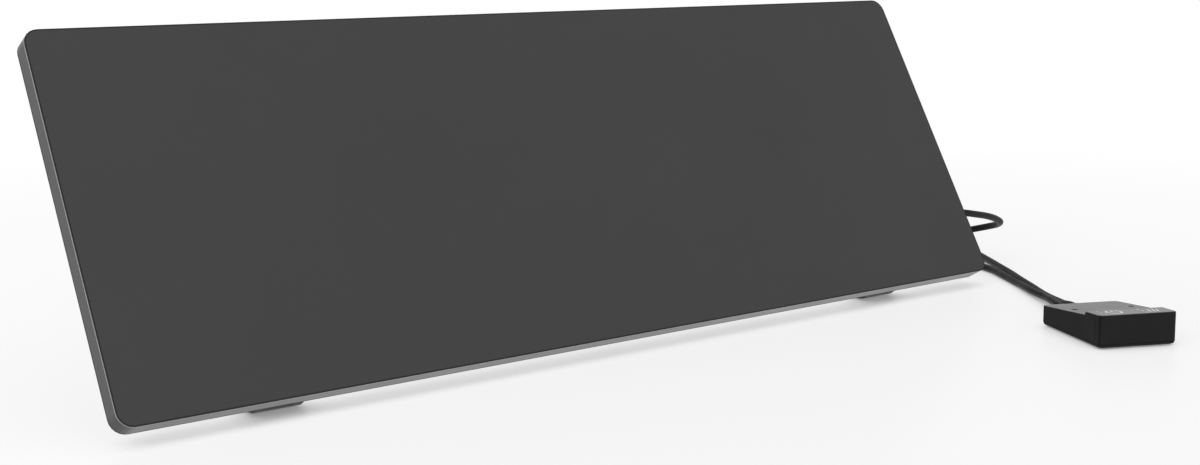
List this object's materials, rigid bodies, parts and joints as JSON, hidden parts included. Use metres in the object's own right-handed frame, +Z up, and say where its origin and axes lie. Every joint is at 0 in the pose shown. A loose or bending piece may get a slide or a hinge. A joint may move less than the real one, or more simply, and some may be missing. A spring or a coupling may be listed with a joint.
{
  "type": "under desk heater panel",
  "caption": "Slim radiant heater panel that leans back on folding feet, with a wired touch control box and a mains lead with plug.",
  "frame": {"origin": "floor level, under the middle of the box round panel, feet and control box", "axes": "+X along the panel towards the control box, +Y from its face to its back, +Z up"},
  "size_m": [1.0459, 0.4889, 0.2762],
  "materials": {
    "charcoal_paint": "matte powder coat",
    "rear_steel": "satin",
    "foil": "bright",
    "silicone": "satin",
    "insulation": "felted mineral fibre",
    "cutout_steel": "plain",
    "black_plastic": "fine spark texture",
    "foot_plastic": "fine texture",
    "white_plastic": "smooth",
    "pin_steel": "turned",
    "rubber": "matte",
    "cord_black": "satin sheath",
    "board_green": "solder mask",
    "relay_blue": "moulded",
    "nickel": "plated"
  },
  "bodies": {
    "heater": {"front_shell": "charcoal_paint", "heat_spreader": "foil", "heating_cable": "silicone", "insulation_board": "insulation", "thermal_cutout_1": "cutout_steel", "thermal_cutout_2": "cutout_steel", "temperature_sensor": "cutout_steel", "rear_cover": "rear_steel", "terminal_cover": "black_plastic", "terminal_block": "white_plastic", "panel_gland": "rubber", "bracket_left": "foot_plastic", "hinge_pin_left": "pin_steel", "retaining_ring_left": "pin_steel", "bracket_right": "foot_plastic", "hinge_pin_right": "pin_steel", "retaining_ring_right": "pin_steel", "control_top": "black_plastic", "control_base": "black_plastic", "control_pad_1": "rubber", "control_pad_2": "rubber", "circuit_board": "board_green", "touch_board": "board_green", "relay": "relay_blue", "power_module": "black_plastic", "panel_bush": "rubber", "mains_bush": "rubber", "panel_lead_loop": "cord_black", "panel_coil": "cord_black", "panel_lead_run": "cord_black", "panel_coil_tie": "rubber", "mains_lead_run": "cord_black", "mains_coil": "cord_black", "mains_lead_tail": "cord_black", "mains_coil_tie": "rubber", "plug_body": "black_plastic", "plug_pin_1": "nickel", "plug_pin_2": "nickel"},
    "foot_left": {"leg_left": "foot_plastic", "foot_pad_front_left": "rubber", "foot_pad_rear_left": "rubber"},
    "foot_right": {"leg_right": "foot_plastic", "foot_pad_front_right": "rubber", "foot_pad_rear_right": "rubber"}
  },
  "joints": [
    {"name": "foot_left_fold", "type": "hinge", "parent": "heater", "child": "foot_left", "pos_m": [-0.319, 0.07451, 0.0075], "axis": [1, 0, 0], "range_deg": [0, 60]},
    {"name": "foot_right_fold", "type": "hinge", "parent": "heater", "child": "foot_right", "pos_m": [0.319, 0.07451, 0.0075], "axis": [1, 0, 0], "range_deg": [0, 60]}
  ]
}
